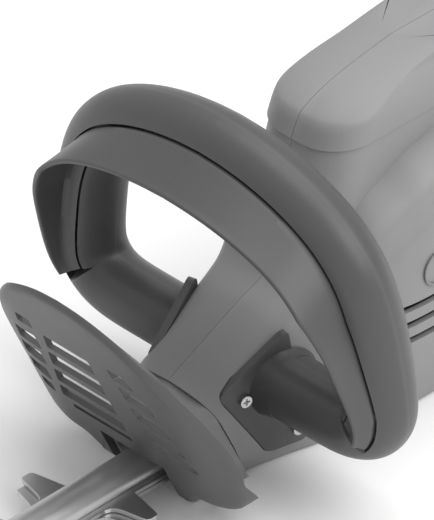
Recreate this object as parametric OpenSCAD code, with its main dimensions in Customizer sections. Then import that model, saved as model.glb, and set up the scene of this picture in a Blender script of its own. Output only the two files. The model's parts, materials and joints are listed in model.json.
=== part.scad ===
// Electric hedge trimmer with a two-hand switch bail, a slotted hand guard and counter-moving blades.
// +X runs forward along the blade, +Y to the operator's left, +Z up. Z = 0 is the flat underside.
// The origin is where the drive gear's axis meets the underside.

/* [Blade] */
// Height of the upper blade's top face above the underside
deck = 13; // [12.5:0.5:14]
// Distance from the gear's axis to the end of the last pair of teeth
blade_end = 590; // [300:10:700]
// Distance between two teeth on one side
tooth_pitch = 35.8; // [34:0.2:38]
// Reach of a tooth from the blade's centre line
tooth_reach = 30.8; // [28:0.2:33]
// Thickness of each blade
blade_t = 2.2; // [2:0.1:2.3]

/* [Body] */
// Thickness of the moulded shells
wall = 2.6; // [2.4:0.1:3]
// Half of the dome's width
dome_w = 27; // [26.5:0.5:28]

/* [Bail] */
// Radius of the bail's tube
tube_r = 16; // [15.5:0.5:16]
// Wall of the bail's half shells
tube_wall = 3; // [2.6:0.1:3.2]

/* [Drive] */
// Gear module
gear_m = 1.1; // [1.1:0.1:1.1]
// Teeth on the pinion
pinion_teeth = 12; // [12:1:12]
// Teeth on the drive gear
wheel_teeth = 48; // [48:1:48]
// Offset of each eccentric, half of a blade's stroke
throw = 4; // [3:0.1:4]

/* [Hidden] */
$fn = 48;

motor_x = -gear_m * (pinion_teeth + wheel_teeth) / 2;
gap = 0.15;
tube_x = 37;
pivot_z = 66;
pivot_x = 47.9;

// ---- shared shapes ------------------------------------------------------------------------------

function unit(v) = v / norm(v);
// A point of a smooth curve between p1 and p2
function spline(p0, p1, p2, p3, t) =
    0.5 * (2 * p1 + (p2 - p0) * t + (2 * p0 - 5 * p1 + 4 * p2 - p3) * t * t
        + (3 * p1 - p0 - 3 * p2 + p3) * t * t * t);
function smooth(path, steps) = concat(
    [for (i = [0 : len(path) - 2]) for (k = [0 : steps - 1])
        spline(path[max(i - 1, 0)], path[i], path[i + 1], path[min(i + 2, len(path) - 1)], k / steps)],
    [path[len(path) - 1]]);

// A solid through a list of rings that all have the same number of points
module loft(rings) {
    n = len(rings[0]);
    m = len(rings);
    sides = [for (i = [0 : m - 2]) for (j = [0 : n - 1])
        let (a = i * n + j, b = i * n + (j + 1) % n)
        each [[a, b, b + n], [a, b + n, a + n]]];
    caps = [[for (j = [n - 1 : -1 : 0]) j], [for (j = [0 : n - 1]) (m - 1) * n + j]];
    polyhedron([for (r = rings) for (p = r) p], concat(sides, caps), convexity = 8);
}

// A screw along +Z: its head sits on z = 0 and its shank goes down
module screw(r, head_r, head_h, length) {
    difference() {
        cylinder(r = head_r, h = head_h);
        translate([-head_r * 0.6, -0.5, head_h - 0.9]) cube([head_r * 1.2, 1, 2]);
        translate([-0.5, -head_r * 0.6, head_h - 0.9]) cube([1, head_r * 1.2, 2]);
    }
    translate([0, 0, -length]) cylinder(r = r, h = length + 0.2);
}
module tube(outer, inner, h) {
    difference() {
        cylinder(r = outer, h = h);
        translate([0, 0, -1]) cylinder(r = inner, h = h + 2);
    }
}

// ---- housing ------------------------------------------------------------------------------------

// Stations of the lower body: x, bottom, half width at the bottom, bulge (half width, height),
// shoulder (half width, height), upper shoulder (half width, height), height of the centre line
stations = [
    [79, 0, 19, 24, 14, 25, 36, 16, 47, 50.3],
    [60, 0, 23.5, 27, 20, 26.5, 45, 19, 55, 59.4],
    [37, 0, 28, 30, 24, 28, 60, 17, 68, 70.4],
    [17, 0, 33, 34.5, 30, 31.5, 70, 18, 77.5, 80],
    [2, 0, 36.5, 40, 44, 37, 86, 27, 97, 104],
    [-10, 0, 39, 45, 55, 42, 97, 31, 111, 122],
    [-26, 0, 41.3, 48, 60, 45.5, 99, 36, 117, 128],
    [-45, 0, 42.5, 48.5, 62, 47.5, 103, 38, 124, 134],
    [-80, 0, 42.5, 48.5, 62, 47, 106, 37, 128, 140],
    [-112, 0, 42, 46, 60, 43, 104, 33, 127, 140],
    [-134, 0, 40, 42, 50, 38, 84, 30, 104, 114],
    [-158, 2, 32, 34, 20, 30, 36, 20, 43, 46],
    [-205, 7, 20, 22, 22, 20, 36, 12, 45, 47],
    [-240, 10, 16, 18.5, 26, 17, 40, 10, 48, 50], [-262, 20, 13, 16, 30, 14, 42, 8, 49, 51]
];
function half_section(s, off) = concat([[0, s[1] + off], [s[2] - off - 3, s[1] + off]], smooth([
    [s[2] - off, s[1] + off + 3], [s[3] - off, s[4]], [s[5] - off, s[6] - off * 0.4],
    [s[7] - off * 0.7, s[8] - off * 0.8], [0, s[9] - off]], 2));
function section_ring(s, off) = let (half = half_section(s, off)) [
    for (p = concat(half, [for (i = [len(half) - 2 : -1 : 1]) [-half[i][0], half[i][1]]])) [s[0], p[0], p[1]]];
module lower_body(off) { loft([for (s = stations) section_ring(s, off)]); }

// Points of an arc round (x, y)
function arc_at(x, y, r, from, to, n) = [for (k = [0 : n]) let (a = from + (to - from) * k / n)
    [x + r * cos(a), y + r * sin(a)]];
// Plan ring of the dome: height, front, back and half width
function dome_ring(l, off, z) = let (f = l[1] - 21, b = l[2] + 18, w = l[3]) [for (p = concat(
    arc_at(f, w - 21, 21 - off, 0, 90, 7), arc_at(b, w - 18, 18 - off, 90, 180, 4),
    arc_at(b, 18 - w, 18 - off, 180, 270, 4), arc_at(f, 21 - w, 21 - off, 270, 360, 7))) [p[0], p[1], z]];
dome_levels = [
    [74, 18.1, -128, 29.7], [120, 7.4, -130, 27.2], [141, 2.4, -132, 26], [141.6, 2.9, -132, 27],
    [150.5, -1.2, -130, 27], [154.5, -5.5, -129, 26.2], [159, -16, -124, 24], [162.5, -30, -116, 21.9],
    [165.2, -46, -104, 21.4], [167.2, -60, -98, 21.1]
];
module dome(off) {
    loft([for (i = [len(dome_levels) - 1 : -1 : 0]) dome_ring(dome_levels[i], off, dome_levels[i][0] - (i > 4 ? off : 0))]);
}

// The rear handle: x, height of the bar's centre, direction of the bar, half thickness, half width
handle_stations = [
    [-100, 148, 0, 18, 24], [-125, 147, 3, 17.6, 20], [-150, 144.5, 8, 16.5, 17.5], [-180, 138.5, 15, 15.5, 17],
    [-208, 129, 24, 15.5, 17], [-232, 115, 39, 15.5, 17], [-247, 96, 62, 15, 17], [-252.5, 74, 85, 15, 17],
    [-251, 50, 94, 15, 17.5], [-247, 30, 98, 16, 18]
];
function handle_ring(s, off) = [for (k = [0 : 17]) let (a = k * 20, u = (s[3] - off) * cos(a))
    [s[0] - u * sin(s[2]), (s[4] - off) * sin(a), s[1] + u * cos(s[2])]];
module rear_handle(off) { loft([for (i = [len(handle_stations) - 1 : -1 : 0]) handle_ring(handle_stations[i], off)]); }

module ahead_of(x_low, lean) {
    translate([x_low, -100, 0]) multmatrix([[1, 0, lean, 0], [0, 1, 0, 0], [0, 0, 1, 0]])
        translate([0, 0, -50]) cube([300, 200, 300]);
}

flange = [[71.2, 47.4], [35, 70.8], [24.6, 8], [45.4, 8]];
flange_screw_at = [[57.6, 41.6], [30, 16]];
flange_turn = -13;
// An upright plate that follows the housing's side: outline of (x, height), outer face depth and thickness
module on_side(side, y, t, out = 0) {
    translate([tube_x, side * y, 0]) rotate([0, 0, side * flange_turn])
        translate([-tube_x, side > 0 ? out : t - out, 0]) rotate([90, 0, 0]) linear_extrude(t) children();
}
boss_at = [[52, 32], [-10, 57], [-84, 20], [-118, 128], [-226, 29], [-213, 127], [-253, 84]];
vent_rows = [42, 51.5, 61];
inlet_z = 46;
trigger_turn = -15;
// Children are placed in the trigger's frame: x along the handle, z square to it
module at_trigger() { translate([-176, 0, 139.5]) rotate([0, trigger_turn, 0]) children(); }
module case_outline(grow) {
    circle(31 + grow);
    translate([-66 - grow, -24 - grow]) square([66 + grow, 48 + 2 * grow]);
    translate([0, -20 - grow]) square([59 + grow, 40 + 2 * grow]);
}

module inside(off) {
    lower_body(off);
    dome(off);
    rear_handle(off);
}
module housing_half(side) {
    difference() {
        union() {
            difference() {
                inside(0);
                inside(wall);
                ahead_of(54.9, 0.47);
            }
            intersection() {
                union() {
                    for (p = boss_at) hull() for (y = [-50, 49]) translate([p[0], y, p[1]]) rotate([-90, 0, 0])
                        cylinder(r = 4.6, h = 1, $fn = 16);
                    at_trigger() translate([15, 0, -8.5]) rotate([90, 0, 0]) cylinder(r = 4.6, h = 40, $fn = 16, center = true);
                    // ribs that hold the motor
                    for (z = [72, 124]) difference() {
                        translate([motor_x - 27, -48, z]) cube([54, 96, 3]);
                        translate([motor_x, 0, z - 1]) cylinder(r = 22.7, h = 5);
                    }
                }
                inside(1);
                translate([-300, -60, 0]) cube([352, 120, 150]);
            }
            // solid backing under the bail's flanges
            intersection() {
                on_side(side, 30, 11) polygon([[66, 14], [70, 46], [37, 69], [22, 69], [20, 4], [50, 4]]);
                lower_body(1);
            }
        }
        translate([-300, side > 0 ? -200 : 0, -10]) cube([420, 200, 300]);
        on_side(side, 30, 13.8, 10) offset(delta = gap) polygon(flange);
        translate([tube_x, side * 24.4, 43.2]) rotate([-90 * side, 0, 0]) cylinder(r = tube_r + 0.9, h = 20);
        for (x = flange_screw_at) at_side(side, x[0], x[1]) translate([0, 0, -13]) cylinder(r = 1.6, h = 13, $fn = 16);
        for (z = vent_rows) hull() for (x = [-58, -16]) translate([x, side * 30, z + (x + 16) * 0.05])
            rotate([-90 * side, 0, 0]) cylinder(r = 1.8, h = 30, $fn = 12);
        for (p = boss_at) translate([p[0], -60, p[1]]) rotate([-90, 0, 0]) cylinder(r = 1.75, h = 120, $fn = 12);
        for (p = boss_at) translate([p[0], side > 0 ? 9 : -69, p[1]]) rotate([-90, 0, 0])
            cylinder(r = 3.7, h = 60, $fn = 16);
        // trigger slot, inlet and gear case
        at_trigger() {
            translate([-23.5, -7.4, -30]) cube([43.5, 14.8, 26.4]);
            translate([15, 0, -8.5]) rotate([90, 0, 0]) cylinder(r = 2.02, h = 60, center = true, $fn = 24);
        }
        translate([-300, 0, inlet_z]) rotate([0, 90, 0]) cylinder(r = 12.2, h = 58, $fn = 32);
        translate([-264.5, -9.6, 26]) cube([4, 19.2, 12.6]);
        translate([0, 0, -5]) linear_extrude(8.3) case_outline(0.3);
        // room for the blade unit's foot and the gear case's ears
        translate([32, -19.4, 2]) cube([40, 38.8, 17]);
        for (s = [-1, 1]) translate([18.8, s * 24, 2]) cylinder(r = 2.6, h = 27, $fn = 12);
        for (s = [-1, 1]) translate([25.6, s * 17.2, 2]) cylinder(r = 9.2, h = 28, $fn = 24);
    }
}
module housing_left() { color([0.45, 0.45, 0.45]) housing_half(1); }
module housing_right() { color([0.45, 0.45, 0.45]) housing_half(-1); }
module housing_screws() {
    color([0.75, 0.75, 0.75]) for (p = boss_at)
        translate([p[0], 9.1, p[1]]) rotate([-90, 0, 0]) screw(1.6, 3.3, 2.2, 18);
}
module side_badges() {
    color([0.5, 0.5, 0.5]) for (side = [-1, 1])
        translate([-40, side * 49, 76]) rotate([-90 * side, 0, 0]) tube(9, 7.6, 0.8);
}

// ---- nose collar and hand guard -----------------------------------------------------------------

lean = 0.46;
// A level of the collar, which leans with the guard: distance ahead of the housing, half width, height
module collar_level(d, w, top, off) {
    multmatrix([[1, 0, lean, 0], [0, 1, 0, 0], [0, 0, 1, 0]]) translate([55.6 + d, 0, 0])
        rotate([90, 0, 90]) linear_extrude(0.01) hull() {
            translate([-w + off - 1.5, off]) square([2 * (w - off) + 3, 1]);
            for (s = [-1, 1]) translate([s * (w - 9), top - 12]) circle(9 - off, $fn = 24);
            translate([0, top - 14]) circle(14 - off, $fn = 24);
        }
}
collar_levels = [[0, 25.5, 49], [7, 25, 48.5], [13, 24, 46], [19, 23, 41], [25, 22.4, 35.5], [30.2, 22, 31]];
module collar_hull(off, first, last) {
    for (i = [first : last - 1]) hull() {
        collar_level(collar_levels[i][0], collar_levels[i][1], collar_levels[i][2], off);
        collar_level(collar_levels[i + 1][0], collar_levels[i + 1][1], collar_levels[i + 1][2], off);
    }
}
module nose_collar() {
    color([0.42, 0.42, 0.42]) difference() {
        collar_hull(0, 0, 5);
        translate([-3, 0, 0]) collar_hull(wall, 0, 4);
        translate([40, -20.3, -5]) cube([80, 40.6, 28]);
        at_guard() translate([0, 0, -4]) cylinder(r = 1.85, h = 30, $fn = 16);
        at_guard() translate([0, 0, 8.25]) cylinder(r = 3.6, h = 30, $fn = 16);
    }
}

// Half outline of the guard seen from the front
guard_half = [[0, 126.5], [13, 125], [25, 121], [36, 115], [46, 105], [53.5, 93], [58.5, 82], [61.5, 72], [64, 61],
    [65, 50], [64.6, 41], [62.6, 31], [60.3, 22.5], [57.2, 17.2], [52.5, 14.8], [44, 13], [35, 11.8], [30, 7.8], [24.5, 2]];
guard_right = [for (i = [len(guard_half) - 1 : -1 : 1]) [-guard_half[i][0], guard_half[i][1]]];
module guard_face() { polygon(concat(guard_half, guard_right)); }
// Slots in three columns that fan out downwards: left end, right end, top and height of each
guard_slot_at = [
    [-38, -29.5, 96, 6.5], [-45, -32, 83, 9.3], [-48.5, -35, 69.8, 9.3], [-50.5, -38, 56.4, 8.6], [-49, -41, 43.6, 6],
    [-24, 4, 89, 9.6], [-27.6, 4, 75.3, 9.8], [-31, 4, 61.2, 9.6], [-34, 4.5, 47.8, 8.2], [-31, 5, 36.2, 3],
    [17, 28.5, 93, 7], [18.5, 35.5, 82, 9.6], [19.5, 39, 68, 8.8], [21.5, 42, 55.3, 7.4], [24.5, 45, 44.6, 6.4]];
module guard_slots() {
    for (s = guard_slot_at) let (y0 = s[0], y1 = s[1], z = s[2], h = s[3], out = y0 > 0 ? 0.8 : -0.2 * h)
        polygon([[y0, z], [y0 + out, z - h], [y1 + (y0 > 0 ? 2 : -0.1), z - h], [y1 + (y0 > 0 ? 1.4 : 0), z - h * 0.45],
            [y1 - (y0 > 0 ? 2 : 0.3), z]]);
}
// Everything between two leaning curved sheets, at two distances behind the front face
function sag(y) = 7.5 * pow(max(0, abs(y) - 38) / 27, 2);
module guard_sheet(from, to) {
    at = [0, 37.7, 43.1, 48.2, 53.1, 58.2, 63.1, 69];
    sweep = concat([for (i = [7 : -1 : 1]) -at[i]], at);
    front = [for (y = sweep) [-from - sag(y), y]];
    back = [for (i = [14 : -1 : 0]) [-to - sag(sweep[i]), sweep[i]]];
    translate([95.8, 0, 13]) rotate([0, atan(lean), 0]) translate([0, 0, -40]) linear_extrude(200)
        polygon(concat(front, back));
}
// The room that the rim may fill: it reaches far back low down and fades out at the top
module rim_room() {
    rotate([90, 0, 0]) translate([0, 0, -80]) linear_extrude(160) polygon([
        [75, 8.3], [150, 8.3], [190, 150], [147, 128], [131, 103], [110, 62], [100.4, 41.6], [75, 11.6]]);
}
module guard_prism() { rotate([90, 0, 90]) translate([0, 0, 40]) linear_extrude(140) children(); }
module hand_guard() {
    color([0.3, 0.3, 0.3]) difference() {
        union() {
            guard_skin();
            guard_rim();
        }
        at_guard() translate([0, 0, -2.2]) cylinder(r = 1.75, h = 6, $fn = 16);
    }
}
module guard_skin() {
        intersection() {
            guard_sheet(0, 3);
            guard_prism() difference() {
                guard_face();
                guard_slots();
                translate([-20, -1]) square([40, 25.5]);
            }
        }
}
module guard_rim() {
        intersection() {
            guard_sheet(0.4, 30);
            rim_room();
            guard_prism() difference() {
                guard_face();
                offset(delta = -3) guard_face();
            }
        }
}
// Children stand on the collar's inner face, square to the guard: -Z points forwards
module at_guard() {
    for (s = [-1, 1]) translate([98.6, s * 14.5, 27.5]) rotate([0, atan(lean) - 90, 0]) children();
}
module guard_screws() { color([0.75, 0.75, 0.75]) at_guard() translate([0, 0, 8.3]) screw(1.7, 3.2, 2, 10.2); }

// ---- bail handle --------------------------------------------------------------------------------

// Half of the bail's centre line seen from the front: distance from the middle, height
bail_half = [[24.8, 43.2], [46, 43.2], [64, 43.4], [74, 44.6], [81.5, 47.8], [86.6, 53], [89.6, 60.5], [89.8, 71],
    [87.9, 86], [85.2, 101], [81.6, 113.5], [77.2, 123.5], [71.5, 131.5], [64, 138.6], [54.5, 144.6], [42, 150],
    [28, 154], [14, 156.3], [0, 157.2]];
bail_back = [for (i = [len(bail_half) - 2 : -1 : 0]) [-bail_half[i][0], bail_half[i][1]]];
bail_path = concat(bail_half, bail_back);
function bail_x(z) = tube_x + 0.06 * (z - 43);
function bail_tangent(i) = unit(bail_path[min(i + 1, len(bail_path) - 1)] - bail_path[max(i - 1, 0)]);
// The section's points are (forward, outward) from the centre line
function bail_ring(i, points) =
    let (t = bail_tangent(i), c = bail_path[i])
    [for (q = points) [bail_x(c[1] + q[1] * -t[0]) + q[0], c[0] + q[1] * t[1], c[1] - q[1] * t[0]]];
function arc(r, from, to, n) = [for (k = [0 : n]) let (a = from + (to - from) * k / n) [r * cos(a), r * sin(a)]];
// How far the switch bar's outer edge has spread round the tube at a height, 0 to 1
function spread(z) = max(0, min(1, (112 - z) / 46));
function edge_v(z) = 3.7 + 5 * spread(z);
function floor_u(z) = 8 - 2.4 * spread(z);
function front_points(z) =
    let (v = edge_v(z) + 0.9, u = floor_u(z), a = asin(v / tube_r), plain = z < 50, r = tube_r - tube_wall)
    concat(arc(tube_r, 90, a, 6),
        plain ? [for (k = [1 : 4]) let (b = a - (a + 50) * k / 5) [tube_r * cos(b), tube_r * sin(b)]]
            : [[u, v], [u, v / 2 - 2], [u, -4.5], [u, -6.6]],
        arc(tube_r, plain ? -50 : -25, -90, 6), arc(r, -90, -acos((u - 3.2) / r), 4), arc(r, acos((u - 3) / r), 90, 4));
function rear_points() = concat(arc(tube_r, 270, 90, 12), arc(tube_r - tube_wall, 90, 270, 10));

module flange_half(side, front) {
    difference() {
        intersection() {
            on_side(side, 30, 3.6) polygon(flange);
            translate([tube_x, -60, 43]) rotate([0, atan(0.06), 0]) translate([front ? 0.15 : -60.15, 0, -60])
                cube([60, 120, 120]);
        }
        at_side(side, flange_screw_at[front ? 0 : 1][0], flange_screw_at[front ? 0 : 1][1]) translate([0, 0, -6])
            cylinder(r = 1.9, h = 8, $fn = 24);
    }
}
// Children stand on the side wall: +Z points outwards
module at_side(side, x, z) {
    translate([tube_x, side * 30, 0]) rotate([0, 0, side * flange_turn]) translate([x - tube_x, 0, z])
        rotate([-90 * side, 0, 0]) children();
}
joint_at = [[88.8, 80], [-88.8, 80], [30.7, 153.3], [-30.7, 153.3]];
module bail_front_shell() {
    color([0.3, 0.3, 0.3]) difference() {
        union() {
            loft([for (i = [0 : len(bail_path) - 1]) bail_ring(i, front_points(bail_path[i][1]))]);
            for (side = [-1, 1]) flange_half(side, true);
            for (p = joint_at) translate([bail_x(p[1]) + 0.5, p[0], p[1]]) rotate([0, 90, 0])
                cylinder(r = 4, h = floor_u(p[1]) - 2, $fn = 20);
        }
        for (p = joint_at) translate([bail_x(p[1]) - 1, p[0], p[1]]) rotate([0, 90, 0]) cylinder(r = 1.6, h = 7, $fn = 16);
        translate([bail_x(155), 0, 155]) rotate([0, 90, 0]) cylinder(r = 2.3, h = 14, $fn = 16);
        for (s = [-1, 1]) translate([pivot_x, s * 80, pivot_z]) rotate([-90 * s, 0, 0]) cylinder(r = 2.02, h = 21.4, $fn = 24);
    }
}
module bail_rear_shell() {
    color([0.3, 0.3, 0.3]) difference() {
        union() {
            loft([for (i = [0 : len(bail_path) - 1]) bail_ring(i, rear_points())]);
            for (side = [-1, 1]) flange_half(side, false);
            for (p = joint_at) hull() for (x = [-14, -1.5]) translate([bail_x(p[1]) + x, p[0], p[1]])
                rotate([0, 90, 0]) cylinder(r = 4, h = 1, $fn = 20);
        }
        for (p = joint_at) translate([bail_x(p[1]) - 20, p[0], p[1]]) rotate([0, 90, 0]) {
            cylinder(r = 1.75, h = 30, $fn = 16);
            cylinder(r = 3.5, h = 8, $fn = 20);
        }
    }
}
module bail_shell_screws() {
    color([0.75, 0.75, 0.75]) for (p = joint_at)
        translate([bail_x(p[1]) - 12.1, p[0], p[1]]) rotate([0, -90, 0]) screw(1.5, 3.2, 2, 16);
}
module bail_flange_screws() {
    color([0.75, 0.75, 0.75]) for (side = [-1, 1]) for (p = flange_screw_at)
        at_side(side, p[0], p[1]) translate([0, 0, 0.05]) screw(1.5, 2.9, 2, 9);
}
module bail_microswitch() {
    color([0.2, 0.2, 0.2]) translate([bail_x(155) - 7, 0, 155]) {
        translate([0, -10, -5.5]) cube([10, 20, 10.5]);
        rotate([0, 90, 0]) cylinder(r = 1.6, h = 15.6);
    }
}

// The switch bar: a visor from the crease on the tube to a rounded front edge, and a root skin that closes the recess
function bar_reach(z) = min(37, 19.5 + 0.27 * (z - 57));
function bar_drop(z) = 4.5 - 12.5 * pow(max(0, min(1, (z - 100) / 57)), 1.5);
function bar_points(z) = let (v = edge_v(z), f = bar_reach(z), d = bar_drop(z)) concat(
    [[sqrt(17.3 * 17.3 - v * v), v], [f, d + 1.3], [f + 1.2, d + 0.2], [f + 0.4, d - 1.3], [17.6, min(v - 3.6, 1)]],
    arc(16.1, -3, -21, 3), arc(13.9, -19, asin(v / 13.9) - 4, 5));
bar_from = [for (i = [0 : len(bail_path) - 1]) if (bail_path[i][1] >= 52) i][0];
bar_to = len(bail_path) - 1 - bar_from;
module switch_bar() {
    color([0.34, 0.34, 0.34]) union() {
        difference() {
            loft([for (i = [bar_from : bar_to]) bail_ring(i, bar_points(bail_path[i][1]))]);
            for (s = [-1, 1]) translate([pivot_x, s * 60, pivot_z]) rotate([-90 * s, 0, 0])
                cylinder(r = 2.05, h = 40, $fn = 24);
        }
        // knuckles that turn on the pins
        for (s = [-1, 1]) difference() {
            union() {
                translate([pivot_x, s * 90.6, pivot_z]) rotate([90, 0, 0]) cylinder(r = 3.6, h = 9.6, center = true, $fn = 32);
                translate([pivot_x, s * 90.6 - 4.8, pivot_z - 3]) cube([6, 9.6, 6]);
            }
            translate([pivot_x, s * 60, pivot_z]) rotate([-90 * s, 0, 0]) cylinder(r = 2.05, h = 40, $fn = 24);
        }
    }
}

module switch_bar_pins() {
    color([0.75, 0.75, 0.75]) for (s = [-1, 1])
        translate([pivot_x, s * 80.4, pivot_z]) rotate([-90 * s, 0, 0]) cylinder(r = 2, h = 20.6);
}

// ---- trigger, switches and inlet ----------------------------------------------------------------

module trigger() {
    color([0.25, 0.25, 0.25]) at_trigger() difference() {
        union() {
            rotate([90, 0, 0]) linear_extrude(13.6, center = true) polygon([
                [18, -13], [16, -18.5], [4, -20.5], [-10, -21], [-19, -19.5], [-20.5, -12], [-20, -9.5], [10, -9.5]]);
            translate([15, 0, -8.5]) rotate([90, 0, 0]) cylinder(r = 4.2, h = 13.6, center = true);
        }
        translate([15, 0, -8.5]) rotate([90, 0, 0]) cylinder(r = 2.05, h = 20, center = true);
    }
}
module trigger_pin() {
    color([0.75, 0.75, 0.75]) at_trigger() translate([15, 0, -8.5]) rotate([90, 0, 0])
        cylinder(r = 2, h = 24, center = true);
}
module trigger_switch() {
    color([0.2, 0.2, 0.2]) at_trigger() {
        translate([-22, -8, -0.5]) cube([28, 16, 10]);
        translate([-15, 0, -2.2]) cylinder(r = 2.5, h = 3);
    }
}
module suppression_capacitor() {
    color([0.6, 0.55, 0.2]) translate([-100, -9, 60]) cube([12, 18, 26]);
}
module inlet_socket() {
    color([0.2, 0.2, 0.2]) translate([-272, 0, inlet_z]) rotate([0, 90, 0]) difference() {
        cylinder(r = 12, h = 27);
        translate([0, 0, -1]) cylinder(r = 9.5, h = 17);
        for (s = [-1, 1]) translate([0, s * 4.5, 0]) cylinder(r = 2.2, h = 30);
    }
}
module inlet_pins() {
    color([0.8, 0.7, 0.3]) translate([-266, 0, inlet_z]) rotate([0, 90, 0])
        for (s = [-1, 1]) translate([0, s * 4.5, 0]) cylinder(r = 2.1, h = 24);
}

// ---- gear case ----------------------------------------------------------------------------------

post_at = [[-24, 24.6], [-24, -24.6], [25.6, 17.2], [25.6, -17.2]];
module gear_case() {
    color([0.6, 0.6, 0.62]) difference() {
        union() {
            linear_extrude(2.7) case_outline(0);
            translate([0, 0, 2.7]) difference() {
                union() {
                    tube(31, 28.6, 22.3);
                    for (p = [post_at[0], post_at[1]]) translate([p[0], p[1], 0]) cylinder(r = 4, h = 22.3);
                }
                translate([-40, -18.2, -1]) cube([80, 36.4, 12.5]);
                translate([-50, -14, -1]) cube([30, 28, 30]);
            }
            for (p = [post_at[2], post_at[3]]) translate([p[0], p[1], 14.2]) cylinder(r = 3.2, h = 10.8);
            cylinder(r = 7, h = 7.8);
            // seats for the rail's foot, outside the blades
            for (s = [-1, 1]) translate([34, s * 16.4 - 2.6, 2.6]) cube([24, 5.2, 10.6]);
            translate([34, -11, 2.6]) cube([24, 22, 5.4]);
        }
        translate([0, 0, 1]) cylinder(r = 4, h = 30);
        for (p = post_at) translate([p[0], p[1], 14.5]) cylinder(r = 1.5, h = 12, $fn = 24);
        for (x = [39, 53]) for (s = [-1, 1]) translate([x, s * 16.4, 6]) cylinder(r = 1.5, h = 12, $fn = 24);
        translate([0, 0, 14]) cylinder(r = 28.6, h = 20);
    }
}
module gear_case_lid() {
    color([0.6, 0.6, 0.62]) difference() {
        union() {
            translate([0, 0, 25.1]) linear_extrude(3) union() {
                circle(31);
                translate([motor_x, 0]) circle(13);
                translate([motor_x, -13]) square([20, 26]);
                for (p = [post_at[0], post_at[1]]) translate([p[0], p[1]]) circle(4.2);
            }
            translate([motor_x, 0, 25.1]) cylinder(r = 11, h = 7.4);
        }
        translate([0, 0, 20]) cylinder(r = 3.1, h = 20);
        translate([motor_x, 0, 20]) cylinder(r = 6, h = 20);
        translate([motor_x, 0, 26.5]) cylinder(r = 8, h = 10);
        for (p = post_at) translate([p[0], p[1], 20]) cylinder(r = 1.7, h = 20, $fn = 24);
    }
}
module gear_case_screws() {
    color([0.75, 0.75, 0.75]) for (p = post_at) translate([p[0], p[1], 28.1]) screw(1.5, 2.9, 1.8, 12);
}
module gear_axle() {
    color([0.78, 0.78, 0.78]) {
        translate([0, 0, 1]) cylinder(r = 4, h = 6.8);
        translate([0, 0, 7.8]) cylinder(r = 3, h = 21.5);
    }
}
module axle_retaining_ring() {
    color([0.7, 0.7, 0.7]) translate([0, 0, 28.15]) tube(5.2, 3, 0.8);
}

// ---- gears: involute flanks on stub teeth -------------------------------------------------------

function involute(rb, r) = let (t = sqrt(max(r * r / (rb * rb) - 1, 0))) t * 180 / PI - atan(t);
module gear(teeth, h, bore, turn) {
    rp = gear_m * teeth / 2;
    rb = rp * cos(20);
    ro = rp + 0.74 * gear_m;
    rr = rp - 1.12 * gear_m;
    rs = max(rb, rr);
    half = 90 / teeth + involute(rb, rp) - 0.1 / rp * 180 / PI;
    flank = [for (k = [0 : 4]) let (r = rs + (ro - rs) * k / 4) [r, half - involute(rb, r)]];
    pitch = 360 / teeth;
    points = [for (i = [0 : teeth - 1]) let (a = i * pitch + turn) each concat(
        [[rr * cos(a - pitch / 2), rr * sin(a - pitch / 2)], [rr * cos(a - half), rr * sin(a - half)]],
        [for (f = flank) [f[0] * cos(a - f[1]), f[0] * sin(a - f[1])]],
        [for (k = [4 : -1 : 0]) [flank[k][0] * cos(a + flank[k][1]), flank[k][0] * sin(a + flank[k][1])]],
        [[rr * cos(a + half), rr * sin(a + half)]])];
    difference() {
        linear_extrude(h) polygon(points);
        translate([0, 0, -1]) cylinder(r = bore, h = h + 2);
    }
}
module drive_gear() {
    color([0.65, 0.65, 0.66]) translate([0, 0, 16]) difference() {
        gear(wheel_teeth, 8, 4, 180);
        for (k = [0 : 4]) rotate(k * 72) translate([15, 0, -1]) cylinder(r = 5, h = 10);
    }
}
module gear_bush() {
    color([0.75, 0.6, 0.3]) translate([0, 0, 8]) tube(4, 3.04, 16.8);
}
// An eccentric disc with its collar, turning with the gear
module eccentric(z, h, y) {
    difference() {
        translate([0, y, z]) cylinder(r = 9.2, h = h);
        translate([0, 0, z - 1]) cylinder(r = 4, h = h + 2);
    }
}
module upper_eccentric() {
    color([0.7, 0.7, 0.72]) {
        eccentric(10.7, 2.5, throw);
        translate([0, 0, 13.2]) tube(6.5, 4, 2.8);
    }
}
module lower_eccentric() { color([0.7, 0.7, 0.72]) eccentric(8.2, 2.5, -throw); }

// ---- blades -------------------------------------------------------------------------------------

bush_pitch = 71.6;
bush_n = floor((blade_end - 24 - 66) / bush_pitch);
bush_at = [for (k = [0 : bush_n]) 66 + k * bush_pitch];
tooth_n = floor((blade_end - 150) / tooth_pitch);
slot_r = 3.1;
// Outline of one tooth: a leading flank, a tip (rounded, or cut square) and a trailing fillet
function tooth(x, side, reach, square_end) = [for (p = concat([[0.3, 12.2]],
    square_end ? [[3.8, reach], [10.6, reach]]
        : [[3.5, reach - 2.4], [4.1, reach - 0.8], [5.4, reach], [9, reach], [10.3, reach - 0.8], [10.9, reach - 2.4]],
    [[13.3, 17.5], [14.2, 15], [16, 13.1], [18.6, 12.2]])) [x + p[0], side * p[1]]];
function reversed(list) = [for (i = [len(list) - 1 : -1 : 0]) list[i]];
module blade_shape(shift, reach, square_end) {
    difference() {
        polygon(concat([[-21.5, -17], [21, -17], [28, -12.2]],
            [for (k = [0 : tooth_n]) each tooth(111 + shift + (k + 0.5) * tooth_pitch, -1, reach, square_end)],
            [[blade_end - 16, -12.2], [blade_end - 8, -5], [blade_end - 8, 5], [blade_end - 16, 12.2]],
            [for (k = [tooth_n : -1 : 0]) each reversed(tooth(111 + shift + k * tooth_pitch, 1, reach, square_end))],
            [[28, 12.2], [21, 17], [-21.5, 17]]));
        translate([-17.6, -13.6]) square([35.2, 27.2]);
        for (x = bush_at) {
            for (s = [-1, 1]) translate([x + s * (throw + 0.2), 0]) circle(slot_r);
            translate([x - throw - 0.2, -slot_r]) square([2 * throw + 0.4, 2 * slot_r]);
        }
    }
}
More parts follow.
